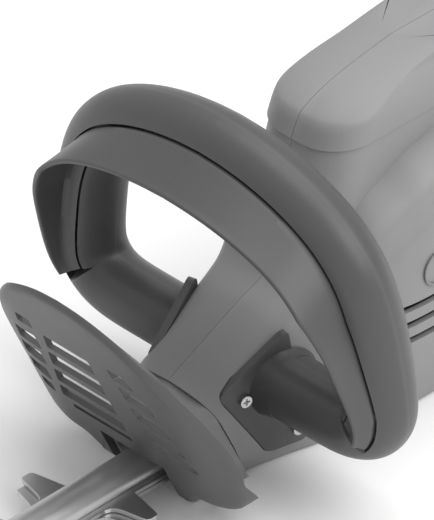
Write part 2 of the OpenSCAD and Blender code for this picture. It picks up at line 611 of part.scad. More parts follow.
module upper_blade() {
    color([0.72, 0.72, 0.72]) translate([0, 0, deck - blade_t]) linear_extrude(blade_t) blade_shape(0, tooth_reach, false);
}
module lower_blade() {
    color([0.72, 0.72, 0.72]) translate([0, 0, deck - 2 * blade_t - 0.2]) linear_extrude(blade_t)
        blade_shape(5, tooth_reach - 3, true);
}
module blade_bushes() {
    color([0.7, 0.7, 0.7]) for (x = bush_at) translate([x, 0, 8.1]) tube(3, 2, deck + 0.2 - 8.1);
}
module blade_washers() {
    color([0.7, 0.7, 0.7]) for (x = bush_at) translate([x, 0, 7]) tube(6, 2, 1.1);
}
module blade_screws() {
    color([0.75, 0.75, 0.75]) for (x = bush_at) translate([x, 0, 7]) rotate([180, 0, 0]) screw(2, 3.8, 2.2, 12);
}
rail_end = blade_end - 14;
module blade_rail() {
    color([0.7, 0.7, 0.7]) difference() {
        union() {
            translate([32, 0, deck + 0.2]) rotate([0, 90, 0]) cylinder(r = 9, h = rail_end - 32, $fn = 64);
            translate([34, -19, deck + 0.2]) cube([24, 38, 3]);
        }
        translate([0, -30, deck - 20 + 0.2]) cube([blade_end, 60, 20]);
        for (x = bush_at) translate([x, 0, 10]) cylinder(r = 2, h = 9);
        translate([rail_end - 26, -20, 17]) cube([40, 40, 10]);
        for (x = [39, 53]) for (s = [-1, 1]) translate([x, s * 16.4, 6]) cylinder(r = 1.7, h = 20, $fn = 24);
        for (x = [rail_end - 20, rail_end - 6]) translate([x, 0, 13.9]) cylinder(r = 1.5, h = 12, $fn = 24);
    }
}
module rail_foot_screws() {
    color([0.75, 0.75, 0.75]) for (x = [39, 53]) for (s = [-1, 1])
        translate([x, s * 16.4, deck + 3.2]) screw(1.5, 2.5, 1.8, 9);
}
module blade_tip_guard() {
    x = rail_end - 25;
    color([0.25, 0.25, 0.25]) difference() {
        union() {
            translate([x, -9, 17.05]) cube([54, 18, 2.6]);
            hull() for (s = [-1, 1]) {
                translate([x + 47, s * 9, 6]) cylinder(r = 7, h = 13.65);
                translate([x + 38, s * 12, 17.05]) cylinder(r = 2, h = 2.6);
            }
        }
        translate([rail_end, -30, -5]) cube([16, 60, 22]);
        translate([x + 47, 0, 0]) cylinder(r = 3.5, h = 30);
        for (dx = [-20, -6]) translate([rail_end + dx, 0, 13]) cylinder(r = 1.7, h = 12, $fn = 24);
    }
}
module tip_guard_screws() {
    color([0.75, 0.75, 0.75]) for (dx = [-20, -6])
        translate([rail_end + dx, 0, 19.65]) screw(1.5, 2.9, 1.8, 5.5);
}

// ---- motor --------------------------------------------------------------------------------------

module on_motor(z) { translate([motor_x, 0, z]) children(); }
module motor_can() {
    color([0.55, 0.55, 0.56]) on_motor(66) {
        tube(22.5, 20.7, 70);
        tube(21, 9, 2);
    }
}
module motor_magnets() {
    color([0.2, 0.2, 0.22]) on_motor(72) difference() {
        tube(20.7, 14.6, 56);
        for (a = [0, 90]) rotate(a + 45) translate([-30, -3, -1]) cube([60, 6, 60]);
    }
}
module motor_end_cap() {
    color([0.25, 0.25, 0.25]) on_motor(136) difference() {
        union() {
            tube(22.5, 19.5, 15);
            translate([0, 0, 13]) cylinder(r = 22, h = 2);
            translate([0, 0, 15]) cylinder(r = 11, h = 5);
        }
        translate([0, 0, 10]) cylinder(r = 5, h = 12);
        translate([0, 0, 14]) cylinder(r = 8, h = 12);
        for (s = [-1, 1]) translate([-3.6, s * 21 - 3, 3]) cube([7.2, 6, 7.2]);
    }
}
module carbon_brushes() {
    color([0.15, 0.15, 0.15]) on_motor(139.5) for (s = [-1, 1])
        translate([-3, s * 14.15 - 4.85, 0]) cube([6, 9.7, 6]);
}
module brush_caps() {
    color([0.8, 0.7, 0.3]) on_motor(139.2) for (s = [-1, 1])
        translate([-3.5, s * 20.8 - 1.7, 0]) cube([7, 3.4, 6.6]);
}
module rotor_shaft() { color([0.78, 0.78, 0.78]) on_motor(15.5) cylinder(r = 3, h = 140); }
module rotor_core() {
    color([0.5, 0.5, 0.52]) on_motor(78) difference() {
        tube(14, 3, 42);
        for (k = [0 : 8]) rotate(k * 40) translate([11, -1, -1]) cube([6, 2, 60]);
    }
}
module rotor_windings() {
    color([0.7, 0.4, 0.2]) for (z = [72, 120]) on_motor(z) tube(11.5, 5, 6);
}
module commutator() {
    color([0.75, 0.5, 0.25]) on_motor(134) difference() {
        tube(9, 3, 14);
        for (k = [0 : 11]) rotate(k * 30) translate([7.5, -0.3, -1]) cube([3, 0.6, 16]);
    }
}
module cooling_fan() {
    color([0.2, 0.2, 0.2]) on_motor(46) {
        tube(6, 3, 12);
        difference() {
            translate([0, 0, 10]) cylinder(r = 17, h = 2);
            translate([0, 0, 9]) cylinder(r = 6, h = 4);
        }
        for (k = [0 : 8]) rotate(k * 40) translate([5.5, -0.8, 0]) cube([11, 1.6, 10.5]);
    }
}
module pinion() { color([0.65, 0.65, 0.66]) on_motor(16) gear(pinion_teeth, 8, 3, 180 / pinion_teeth); }
module upper_bearing() { color([0.7, 0.7, 0.7]) on_motor(150) tube(8, 3.03, 5); }
module lower_bearing() { color([0.7, 0.7, 0.7]) on_motor(26.5) tube(8, 3.03, 5); }

housing_left();
housing_right();
housing_screws();
nose_collar();
hand_guard();
guard_screws();
bail_front_shell();
bail_rear_shell();
bail_shell_screws();
bail_flange_screws();
bail_microswitch();
switch_bar();
switch_bar_pins();
side_badges();
trigger();
trigger_pin();
trigger_switch();
suppression_capacitor();
inlet_socket();
inlet_pins();
gear_case();
gear_case_lid();
gear_case_screws();
gear_axle();
blade_rail();
rail_foot_screws();
blade_bushes();
blade_washers();
blade_screws();
blade_tip_guard();
tip_guard_screws();
upper_blade();
lower_blade();
drive_gear();
gear_bush();
upper_eccentric();
lower_eccentric();
axle_retaining_ring();
motor_can();
motor_magnets();
motor_end_cap();
carbon_brushes();
brush_caps();
rotor_shaft();
rotor_core();
rotor_windings();
commutator();
cooling_fan();
pinion();
upper_bearing();
lower_bearing();
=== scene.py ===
"""Hedge trimmer: the finished look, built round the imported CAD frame.

Units are metres; the helpers' sizes are in mm.
"""

import json
import math

import bmesh
import bpy
import numpy as np
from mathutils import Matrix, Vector


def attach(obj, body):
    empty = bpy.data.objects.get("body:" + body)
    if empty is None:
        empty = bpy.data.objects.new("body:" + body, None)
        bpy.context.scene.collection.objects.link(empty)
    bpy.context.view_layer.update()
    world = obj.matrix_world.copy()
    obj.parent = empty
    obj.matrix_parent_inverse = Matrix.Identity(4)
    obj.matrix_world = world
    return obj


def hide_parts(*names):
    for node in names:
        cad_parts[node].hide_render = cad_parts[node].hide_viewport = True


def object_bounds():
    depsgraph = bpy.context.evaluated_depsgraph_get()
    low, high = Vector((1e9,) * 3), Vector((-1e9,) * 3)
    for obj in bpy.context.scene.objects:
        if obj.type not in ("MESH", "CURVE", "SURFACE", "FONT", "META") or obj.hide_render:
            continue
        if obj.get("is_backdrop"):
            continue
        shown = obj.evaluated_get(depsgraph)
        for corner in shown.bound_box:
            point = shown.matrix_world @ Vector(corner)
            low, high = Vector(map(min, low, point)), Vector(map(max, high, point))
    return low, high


MM = 0.001
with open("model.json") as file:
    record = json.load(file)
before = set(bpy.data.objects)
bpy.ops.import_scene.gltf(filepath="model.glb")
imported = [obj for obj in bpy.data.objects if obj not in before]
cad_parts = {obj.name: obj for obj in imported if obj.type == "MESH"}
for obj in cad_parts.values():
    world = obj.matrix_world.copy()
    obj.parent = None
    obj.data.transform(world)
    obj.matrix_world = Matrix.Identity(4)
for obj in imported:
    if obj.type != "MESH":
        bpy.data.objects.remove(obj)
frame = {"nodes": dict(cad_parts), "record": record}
cad_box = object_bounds()

# Driving sizes, in mm, shared by the shells below
WALL = 2.6
TUBE_R, TUBE_WALL = 16.0, 3.0
TUBE_X = 37.0
LEAN = 0.46
SEAM = 0.12


# ---- mesh helpers ---------------------------------------------------------------------------------


def new_object(name, verts, faces):
    """A mesh object from points in mm."""
    mesh = bpy.data.meshes.new(name)
    mesh.from_pydata((np.asarray(verts, float) * MM).tolist(), [], [list(map(int, f)) for f in faces])
    mesh.validate()
    obj = bpy.data.objects.new(name, mesh)
    bpy.context.scene.collection.objects.link(obj)
    return obj


def loft(name, rings, capped=True):
    """A closed skin through rings of equal length, each a closed loop of points."""
    rings = np.asarray(rings, float)
    count, size = rings.shape[:2]
    faces = [
        (i * size + j, i * size + (j + 1) % size, (i + 1) * size + (j + 1) % size, (i + 1) * size + j)
        for i in range(count - 1)
        for j in range(size)
    ]
    verts = rings.reshape(-1, 3)
    if capped:
        faces.append(list(range(size))[::-1])
        faces.append([(count - 1) * size + j for j in range(size)])
    obj = new_object(name, verts, faces)
    return outward(obj)


def outward(obj):
    """Turns the normals out."""
    bm = bmesh.new()
    bm.from_mesh(obj.data)
    bmesh.ops.recalc_face_normals(bm, faces=bm.faces)
    if bm.calc_volume(signed=True) < 0:
        bmesh.ops.reverse_faces(bm, faces=bm.faces)
    bm.to_mesh(obj.data)
    bm.free()
    return obj


def applied(obj):
    """Bakes the object's modifiers into its mesh."""
    depsgraph = bpy.context.evaluated_depsgraph_get()
    mesh = bpy.data.meshes.new_from_object(obj.evaluated_get(depsgraph))
    obj.modifiers.clear()
    old = obj.data
    obj.data = mesh
    bpy.data.meshes.remove(old)
    return obj


def combine(obj, others, operation):
    """A boolean of obj with each of the others, which are used up."""
    for other in others:
        mod = obj.modifiers.new("cut", "BOOLEAN")
        mod.operation = operation
        mod.solver = "MANIFOLD"
        mod.object = other
        applied(obj)
        bpy.data.objects.remove(other, do_unlink=True)
    return obj


def cut(obj, *others):
    return combine(obj, others, "DIFFERENCE")


def join(obj, *others):
    return combine(obj, others, "UNION")


def keep(obj, *others):
    return combine(obj, others, "INTERSECT")


def copy_of(obj, name):
    other = bpy.data.objects.new(name, obj.data.copy())
    bpy.context.scene.collection.objects.link(other)
    return other


def extrude(name, outline, place, depth):
    """A prism: outline points (u, v), put in space by place(u, v, w) for w = 0 and w = depth."""
    rings = [[place(u, v, w) for u, v in outline] for w in (0, depth)]
    return loft(name, rings)


def box_mm(name, low, high):
    """A plain cutting block between two corners."""
    outline = [(low[0], low[1]), (high[0], low[1]), (high[0], high[1]), (low[0], high[1])]
    return extrude(name, outline, lambda u, v, w: (u, v, low[2] + w), high[2] - low[2])


def rod(name, start, end, radius, sides=48):
    """A cylinder between two points."""
    start, end = np.array(start, float), np.array(end, float)
    axis = (end - start) / np.linalg.norm(end - start)
    side = np.cross(axis, [0, 0, 1.0] if abs(axis[2]) < 0.9 else [1.0, 0, 0])
    side /= np.linalg.norm(side)
    up = np.cross(axis, side)
    turn = [2 * math.pi * k / sides for k in range(sides)]
    rings = [[p + radius * (math.cos(a) * side + math.sin(a) * up) for a in turn] for p in (start, end)]
    return loft(name, rings)


def smooth_shade(obj, degrees=32):
    obj.data.shade_smooth()
    obj.data.set_sharp_from_angle(angle=math.radians(degrees))
    return obj


def spline(points, steps):
    """A smooth curve through points of any dimension (Catmull-Rom)."""
    p = np.asarray(points, float)
    out = []
    for i in range(len(p) - 1):
        a, b, c, d = p[max(i - 1, 0)], p[i], p[i + 1], p[min(i + 2, len(p) - 1)]
        for k in range(steps):
            t = k / steps
            out.append(
                0.5
                * (2 * b + (c - a) * t + (2 * a - 5 * b + 4 * c - d) * t * t + (3 * b - a - 3 * c + d) * t**3)
            )
    return np.array(out + [p[-1]])


def even(points, count):
    """Points moved along their own polyline so that they are evenly spaced."""
    points = np.asarray(points, float)
    gaps = np.r_[0, np.cumsum(np.linalg.norm(np.diff(points, axis=0), axis=1))]
    at = np.linspace(0, gaps[-1], count)
    return np.stack([np.interp(at, gaps, points[:, k]) for k in range(points.shape[1])], axis=1)


def smoothstep(x, low, high):
    t = np.clip((x - low) / (high - low), 0, 1)
    return t * t * (3 - 2 * t)


# ---- housing: lower body, dome and loop handle, as one moulding split into two halves ---------------

# x, bottom, half width at the bottom, bulge (half width, height), shoulder (half width, height),
# upper shoulder (half width, height), height of the centre line
STATIONS = [
    (90, 0, 16.5, 21, 12, 22, 30, 13.5, 41, 45),
    (79, 0, 19, 24, 14, 25, 36, 16, 47, 50.3),
    (60, 0, 23.5, 27, 20, 26.5, 45, 19, 55, 59.4),
    (37, 0, 28, 30, 24, 28, 60, 17, 68, 70.4),
    (17, 0, 33, 34.5, 30, 31.5, 70, 18, 77.5, 80),
    (2, 0, 36.5, 40, 44, 37, 86, 27, 97, 104),
    (-10, 0, 39, 45, 55, 42, 97, 31, 111, 122),
    (-26, 0, 41.3, 48, 60, 45.5, 99, 36, 117, 128),
    (-45, 0, 42.5, 48.5, 62, 47.5, 103, 38, 124, 134),
    (-80, 0, 42.5, 48.5, 62, 47, 106, 37, 128, 140),
    (-112, 0, 42, 46, 60, 43, 104, 33, 127, 140),
    (-134, 0, 40, 42, 50, 38, 84, 30, 104, 114),
    (-158, 2, 32, 34, 20, 30, 36, 20, 43, 46),
    (-205, 7, 20, 22, 22, 20, 36, 12, 45, 47),
    (-240, 10, 16, 18.5, 26, 17, 40, 10, 48, 50),
    (-262, 20, 13, 16, 30, 14, 42, 8, 49, 51),
]
# height, front, back, half width
DOME = [
    (74, 18.4, -128, 30),
    (120, 7.4, -130, 27.2),
    (140.6, 2.4, -132, 26),
    (141.6, 2.9, -132, 27),
    (150.5, -1.2, -130, 27),
    (154.5, -5.5, -129, 26.2),
    (159, -16, -124, 24),
    (162.5, -30, -116, 21.9),
    (165.2, -46, -104, 21.4),
    (167.2, -60, -98, 21.1),
]
# x, height, direction in degrees, half thickness, half width
HANDLE = [
    (-100, 148, 0, 18, 24),
    (-125, 147, 3, 17.6, 20),
    (-150, 144.5, 8, 16.5, 17.5),
    (-180, 138.5, 15, 15.5, 17),
    (-208, 129, 24, 15.5, 17),
    (-232, 115, 39, 15.5, 17),
    (-247, 96, 62, 15, 17),
    (-252.5, 74, 85, 15, 17),
    (-251, 50, 94, 15, 17.5),
    (-247, 30, 98, 16, 18),
]
# Panel lines low on the side: (x, height) of the line that the raised side panel ends at
PANEL_LINE = [(60, 20), (-2, 84), (-16, 89.5), (-38, 101), (-75, 116), (-110, 118), (-135, 92)]


def half_section(station, off):
    """Half of a cross-section of the lower body, from the middle of the bottom to the middle of the top."""
    low, w0, w1, z1, w2, z2, w3, z3, top = station[1:]
    corner = [
        (w0 - off - 3 + 3 * math.sin(a), low + off + 3 - 3 * math.cos(a))
        for a in np.linspace(0, math.pi / 2, 4)
    ]
    side = spline(
        [corner[-1], (w1 - off, z1), (w2 - off, z2 - off * 0.4), (w3 - off * 0.7, z3 - off * 0.8), (0, top - off)],
        12,
    )
    return even(np.vstack([[(0, low + off)], corner[:-1], side]), 90)


def body_skin(name, off, fine):
    """The lower body. Its sides carry two creases that rise towards the back, and a raised panel below them."""
    table = spline(STATIONS, 14 if fine else 3)
    rings = []
    for row in table:
        half = half_section(row, off)
        x = row[0]
        if fine:
            y, z = half[:, 0], half[:, 1]
            normal = np.gradient(half, axis=0)
            normal /= np.linalg.norm(normal, axis=1)[:, None]
            line = np.interp(-x, [-p[0] for p in PANEL_LINE], [p[1] for p in PANEL_LINE])
            on_side = smoothstep(y, 14, 26) * smoothstep(-x, -30, 4)
            raised = 1.1 * (1 - smoothstep(z, line - 0.9, line + 0.9))
            upper = line + 12.5
            rise, fall = smoothstep(z, upper - 3.5, upper + 0.5), smoothstep(z, upper + 1, upper + 14)
            step = 1.6 * (rise * (1 - fall))
            push = on_side * (raised * smoothstep(z, 12, 16) - 1.1 * smoothstep(z, 12, 16) + step * 0.8)
            half = half + np.stack([normal[:, 1] * push, -normal[:, 0] * push], axis=1)
            half[0, 0] = half[-1, 0] = 0
        loop = np.vstack([half, half[-2:0:-1] * [-1, 1]])
        rings.append(np.c_[np.full(len(loop), x), loop])
    return loft(name, rings)


def arc_at(x, y, r, start, end, n):
    turn = np.radians(np.linspace(start, end, n + 1))
    return np.c_[x + r * np.cos(turn), y + r * np.sin(turn)]


def dome_skin(name, off, fine):
    n = 20 if fine else 8
    levels = []
    for i in range(len(DOME) - 1):
        steps = 1 if i < 3 else (8 if fine else 2)
        smooth = spline(DOME[3:], steps) if i == 3 else None
        if i < 3:
            levels.append(DOME[i])
        elif i == 3:
            levels.extend(smooth.tolist())
    rings = []
    for z, front, back, w in levels:
        lowered = off if z > 151 else 0
        f, b = front - 21, back + 18
        loop = np.vstack(
            [
                arc_at(f, w - 21, 21 - off, 0, 90, n),
                arc_at(b, w - 18, 18 - off, 90, 180, n // 2),
                arc_at(b, 18 - w, 18 - off, 180, 270, n // 2),
                arc_at(f, 21 - w, 21 - off, 270, 360, n),
            ]
        )
        rings.append(np.c_[loop, np.full(len(loop), z - lowered)])
    return loft(name, rings)


def handle_skin(name, off, fine):
    rings = []
    for x, z, heading, thick, wide in spline(HANDLE, 8 if fine else 2):
        turn = np.linspace(0, 2 * math.pi, 49 if fine else 25)[:-1]
        d = math.radians(heading)
        u = (thick - off) * np.cos(turn)
        rings.append(np.c_[x - u * math.sin(d), (wide - off) * np.sin(turn), z + u * math.cos(d)])
    return loft(name, rings)


def moulding(name, off, fine):
    body = body_skin(name, off, fine)
    return join(body, dome_skin("dome", off, fine), handle_skin("handle", off, fine))


FLANGE = [(71.2, 47.4), (35, 70.8), (24.6, 8), (45.4, 8)]
FLANGE_TURN = math.radians(-13)


def side_place(side, out=0.0):
    """Maps (x, height, depth inwards) onto a plane that follows the housing's side wall."""
    c, s = math.cos(FLANGE_TURN), math.sin(FLANGE_TURN)

    def place(u, v, w):
        dx, dy = u - TUBE_X, out - w
        return (TUBE_X + dx * c - dy * s, side * (30 + dx * s + dy * c), v)

    return place


def rounded(outline, radius, steps=6):
    """A polygon with each corner turned into an arc-like curve."""
    pts = np.asarray(outline, float)
    out = []
    for i in range(len(pts)):
        a, b, c = pts[i - 1], pts[i], pts[(i + 1) % len(pts)]
        p = b + (a - b) / np.linalg.norm(a - b) * radius
        q = b + (c - b) / np.linalg.norm(c - b) * radius
        for t in np.linspace(0, 1, steps + 1):
            out.append((1 - t) ** 2 * p + 2 * t * (1 - t) * b + t * t * q)
    return np.array(out)


def grown(outline, by):
    """A convex polygon moved outwards by a distance."""
    pts = np.asarray(outline, float)
    area = sum(p[0] * q[1] - p[1] * q[0] for p, q in zip(pts, np.roll(pts, -1, axis=0)))
    sign = 1 if area > 0 else -1
    out = []
    for i in range(len(pts)):
        e0, e1 = pts[i] - pts[i - 1], pts[(i + 1) % len(pts)] - pts[i]
        n0 = sign * np.array([e0[1], -e0[0]]) / np.linalg.norm(e0)
        n1 = sign * np.array([e1[1], -e1[0]]) / np.linalg.norm(e1)
        n = (n0 + n1) / (1 + n0 @ n1)
        out.append(pts[i] + n * by)
    return np.array(out)


def slot_cutter(name, place, start, end, radius, depth, steps=10):
    """A round-ended slot between two points of a plane."""
    (x0, z0), (x1, z1) = start, end
    a = math.degrees(math.atan2(z1 - z0, x1 - x0))
    far, near = arc_at(x1, z1, radius, a - 90, a + 90, steps), arc_at(x0, z0, radius, a + 90, a + 270, steps)
    outline = np.vstack([far, near])
    return extrude(name, outline, place, depth)


def leaning_block(name, x_low, lean, low, high, ahead=True):
    """Everything in front of a plane that leans forward."""
    reach = 300 if ahead else -400
    foot, head = x_low + lean * low, x_low + lean * high
    outline = [(foot, low), (head, high), (x_low + reach, high), (x_low + reach, low)]
    return extrude(name, outline, lambda u, v, w: (u, w - 150, v), 300)


BOSSES = [(52, 32), (-10, 57), (-84, 20), (-118, 128), (-226, 29), (-213, 127), (-253, 84)]
VENTS = [42, 51.5, 61]
INLET_Z = 46
TRIGGER_AT = (-176, 139.5)
TRIGGER_TURN = math.radians(15)


def trigger_place(u, v, w):
    """(along the handle, across, square to it) to the row frame."""
    c, s = math.cos(TRIGGER_TURN), math.sin(TRIGGER_TURN)
    return (TRIGGER_AT[0] + u * c - w * s, v, TRIGGER_AT[1] + u * s + w * c)


shell = cut(
    moulding("housing", 0, True),
    moulding("hollow", WALL, False),
    leaning_block("front", 54.9, 0.47, -20, 200),
)
BACKING = [(66, 14), (70, 46), (37, 69), (22, 69), (20, 6), (50, 6)]
# solid backing under the bail's flanges, kept inside the body
for side in (-1, 1):
    backing = extrude("backing", BACKING, side_place(side), 11)
    keep(backing, moulding("backing_room", 1, False))
    shell = join(shell, backing)
    cut(
        shell,
        extrude("pocket", rounded(grown(FLANGE, 0.45), 4.2), side_place(side, 10), 13.8),
        rod("leg_hole", (TUBE_X, side * 24.4, 43.2), (TUBE_X, side * 60, 43.2), TUBE_R + 0.4, 96),
    )
    for z in VENTS:
        place = lambda u, v, w, s=side: (u, s * (60 - w), v)
        cut(shell, slot_cutter("vent", place, (-64, z - 2), (-14, z + 0.5), 1.9, 30))
        cut(shell, slot_cutter("vent_end", place, (-14, z + 0.5), (-8.5, z + 4.6), 1.9, 30))
cut(
    shell,
    *[rod("screw_hole", (x, 0, z), (x, 60, z), 3.7, 32) for x, z in BOSSES],
    extrude(
        "trigger_slot",
        [(-23.5, -7.4), (20, -7.4), (20, 7.4), (-23.5, 7.4)],
        lambda u, v, w: trigger_place(u, v, w - 30),
        24,
    ),
    rod("inlet_hole", (-300, 0, INLET_Z), (-242, 0, INLET_Z), 12.2, 64),
    rod("case_hole", (0, 0, -5), (0, 0, 2.8), 31.3, 96),
    box_mm("case_cut_rear", (-66.3, -24.3, -5), (0.5, 24.3, 2.8)),
    box_mm("case_cut_front", (0, -20.3, -5), (90, 20.3, 2.8)),
)
right = copy_of(shell, "housing_right_skin")
left = shell
left.name = "housing_left_skin"
keep(left, box_mm("left_room", (-320, SEAM, -20), (120, 90, 200)))
keep(right, box_mm("right_room", (-320, -90, -20), (120, -SEAM, 200)))
for half, node in ((left, "housing_left"), (right, "housing_right")):
    smooth_shade(half, 34)
    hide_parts(node)
    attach(half, "frame")


# ---- nose collar ------------------------------------------------------------------------------------

# distance ahead of the housing, half width, height
COLLAR = [(0, 25.5, 49), (7, 25, 48.5), (13, 24, 46), (19, 23, 41), (25, 22.4, 35.5), (30.2, 22, 31)]


def collar_skin(name, off, first, last, shift=0.0):
    rings = []
    for d, w, top in spline(COLLAR[first:last], 8):
        arch = np.vstack(
            [
                [(w - off + 1.5, off)],
                arc_at(w - 9, top - 12, 9 - off, 8, 62, 8),
                arc_at(0, top - 14, 14 - off, 76, 104, 8),
                arc_at(9 - w, top - 12, 9 - off, 118, 172, 8),
                [(off - w - 1.5, off)],
            ]
        )
        loop = np.vstack([even(arch, 60)])
        rings.append([(55.6 + d + shift + LEAN * z, y, z) for y, z in loop])
    return loft(name, rings)


collar = cut(
    collar_skin("nose_collar_skin", 0, 0, 6),
    collar_skin("collar_hollow", WALL, 0, 5, -3),
    box_mm("blade_room", (40, -18, -5), (120, 18, 23)),
)
smooth_shade(collar, 34)
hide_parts("nose_collar")
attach(collar, "frame")


# ---- hand guard: a curved slotted plate with a rounded edge that runs back into a rim ----------------

GUARD_HALF = [
    (0, 126.5), (13, 125), (25, 121), (36, 115), (46, 105), (53.5, 93), (58.5, 82), (61.5, 72), (64, 61), (65, 50),
    (64.6, 41), (62.6, 31), (60.3, 22.5), (57.2, 17.2), (52.5, 14.8), (44, 13), (35, 11.8), (30, 7.8), (24.5, 2),
]  # fmt: skip
GUARD_T = 3.3
# slots in three columns that fan out downwards: left end, right end, top and height of each
GUARD_SLOTS = [
    (-38, -29.5, 96, 6.5), (-45, -32, 83, 9.3), (-48.5, -35, 69.8, 9.3), (-50.5, -38, 56.4, 8.6), (-49, -41, 43.6, 6),
    (-24, 4, 89, 9.6), (-27.6, 4, 75.3, 9.8), (-31, 4, 61.2, 9.6), (-34, 4.5, 47.8, 8.2), (-31, 5, 36.2, 3),
    (17, 28.5, 93, 7), (18.5, 35.5, 82, 9.6), (19.5, 39, 68, 8.8), (21.5, 42, 55.3, 7.4), (24.5, 45, 44.6, 6.4),
]  # fmt: skip


def guard_x(y, z):
    """The guard's front face: flat in the middle, falling back at the sides."""
    sag = 7.5 * (max(0.0, abs(y) - 38) / 27) ** 2
    return 95.8 + LEAN * (z - 13) - sag * math.hypot(1, LEAN)


def rim_depth(y, z):
    """How far the rim reaches behind the front face; its rear edge runs straight up the side."""
    rear = np.interp(z, [8.3, 11.6, 41.6, 62, 103, 128], [75, 75, 100.4, 110, 131, 147])
    return float(guard_x(y, z) - rear) if z > 8.3 else 0.0


def guard_skin():
    """One closed skin: front face, rounded edge, rim outside, rim inside and back face."""
    half = even(spline(GUARD_HALF, 6), 70)
    loop = np.vstack([half, half[-2:0:-1] * [-1, 1]])
    centre = np.array([0, 55.0])
    r = 4.2
    tangent = np.roll(loop, -1, axis=0) - np.roll(loop, 1, axis=0)
    normal = np.stack([-tangent[:, 1], tangent[:, 0]], axis=1)
    normal /= np.linalg.norm(normal, axis=1)[:, None]
    flip = np.sign(np.einsum("ij,ij->i", normal, loop - centre))
    normal *= flip[:, None]
    rings = []

    def ring(inset, back):
        pts = []
        for p, n in zip(loop, normal):
            q = p - n * inset
            pts.append((guard_x(q[0], q[1]) - back(p), q[0], q[1]))
        rings.append(pts)

    room = lambda p: max(rim_depth(*p), GUARD_T + 0.4)
    ring(GUARD_T, lambda p: room(p) - 0.05)
    ring(GUARD_T * 0.5, lambda p: room(p) + 0.3)
    ring(0.0, lambda p: room(p) - 0.3)
    for a in np.linspace(0, math.pi / 2, 7):
        ring(r - r * math.cos(a), lambda p, a=a: min(r - r * math.sin(a), room(p) - 0.6) if a < 1.5 else 0)
    for k in np.linspace(0.12, 0.94, 12):
        rings.append(
            [
                (guard_x(q[0], q[1]), q[0], q[1])
                for q in ((p - n * r) * (1 - k) + centre * k for p, n in zip(loop, normal))
            ]
        )
    back_rings = []
    for k in np.linspace(0.94, 0.12, 12):
        back_rings.append(
            [
                (guard_x(q[0], q[1]) - GUARD_T, q[0], q[1])
                for q in ((p - n * r) * (1 - k) + centre * k for p, n in zip(loop, normal))
            ]
        )
    size = len(loop)
    verts = [p for ring_ in rings + back_rings for p in ring_]
    count = len(rings) + len(back_rings)
    faces = []
    for i in range(count):
        if i == len(rings) - 1:
            continue
        j = (i + 1) % count
        for k in range(size):
            m = (k + 1) % size
            faces.append((i * size + k, i * size + m, j * size + m, j * size + k))
    for i, order in ((len(rings) - 1, 1), (len(rings), -1)):
        faces.append([i * size + k for k in range(size)][::order])
    return outward(new_object("hand_guard_skin", verts, faces))


guard = guard_skin()
cutters = [box_mm("blade_room", (60, -20, -1), (130, 20, 24.5))]
for y0, y1, z, h in GUARD_SLOTS:
    near = y0 > 0
    quad = [
        (y0, z), (y0 + (0.8 if near else -0.2 * h), z - h), (y1 + (2 if near else -0.1), z - h),
        (y1 + (1.4 if near else 0), z - h * 0.45), (y1 - (2 if near else 0.3), z),
    ]  # fmt: skip
    cutters.append(extrude("slot", rounded(quad, 0.7, 3), lambda u, v, w: (175 - w, u, v), 110))
cut(guard, *cutters)
smooth_shade(guard, 40)
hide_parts("hand_guard")
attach(guard, "frame")


# ---- bail: two half shells, and the switch bar in front of them --------------------------------------

# distance from the middle, height
BAIL_HALF = [
    (24.8, 43.2), (46, 43.2), (64, 43.4), (74, 44.6), (81.5, 47.8), (86.6, 53), (89.6, 60.5), (89.8, 71), (87.9, 86),
    (85.2, 101), (81.6, 113.5), (77.2, 123.5), (71.5, 131.5), (64, 138.6), (54.5, 144.6), (42, 150), (28, 154),
    (14, 156.3), (0, 157.2),
]  # fmt: skip
# the front shell's flange screw, then the rear shell's; half the gap between the shells' flanges
FLANGE_SCREWS = [(57.6, 41.6), (30, 16)]
SPLIT = 0.04
BAIL_JOINTS = [(88.8, 80), (-88.8, 80), (30, 153.4), (-30, 153.4)]
_half = spline(BAIL_HALF, 7)
BAIL_PATH = np.vstack([_half, _half[-2::-1] * [-1, 1]])


def bail_x(z):
    return TUBE_X + 0.06 * (z - 43)


def bail_rings(path, points_at):
    """Rings of a section whose points are (forward, outward) from the bail's centre line."""
    tangent = np.gradient(path, axis=0)
    tangent /= np.linalg.norm(tangent, axis=1)[:, None]
    rings = []
    for (y, z), (ty, tz) in zip(path, tangent):
        ring = []
        for u, v in points_at(z):
            py, pz = y + v * tz, z - v * ty
            ring.append((bail_x(pz) + u, py, pz))
        rings.append(ring)
    return rings


def spread(z):
    """How far the switch bar's outer edge has moved round the tube, 0 at the top and 1 at its ends."""
    return float(np.clip((112 - z) / 46, 0, 1))


def edge_v(z):
    return 3.7 + 5 * spread(z)


def front_section(z):
    v, u, r = edge_v(z) + 0.9, 8 - 2.4 * spread(z), TUBE_R - TUBE_WALL
    a = math.degrees(math.asin(v / TUBE_R))
    t = float(smoothstep(z, 49.5, 52.5))
    end = -50 + 25 * t
    plain = arc_at(0, 0, TUBE_R, a, end, 9)[1:-1]
    recess = np.linspace((u, v), (u, -6.6), 8)
    return np.vstack(
        [
            arc_at(0, 0, TUBE_R, 90, a, 14),
            plain * (1 - t) + recess * t,
            arc_at(0, 0, TUBE_R, end, -90, 10),
            arc_at(0, 0, r, -90, -math.degrees(math.acos((u - 3.2) / r)), 8),
            arc_at(0, 0, r, math.degrees(math.acos((u - 3) / r)), 90, 8),
        ]
    )


def rear_section(_z):
    return np.vstack(
        [arc_at(0, 0, TUBE_R, 270, 90, 34), arc_at(0, 0, TUBE_R - TUBE_WALL, 90, 270, 24)]
    )


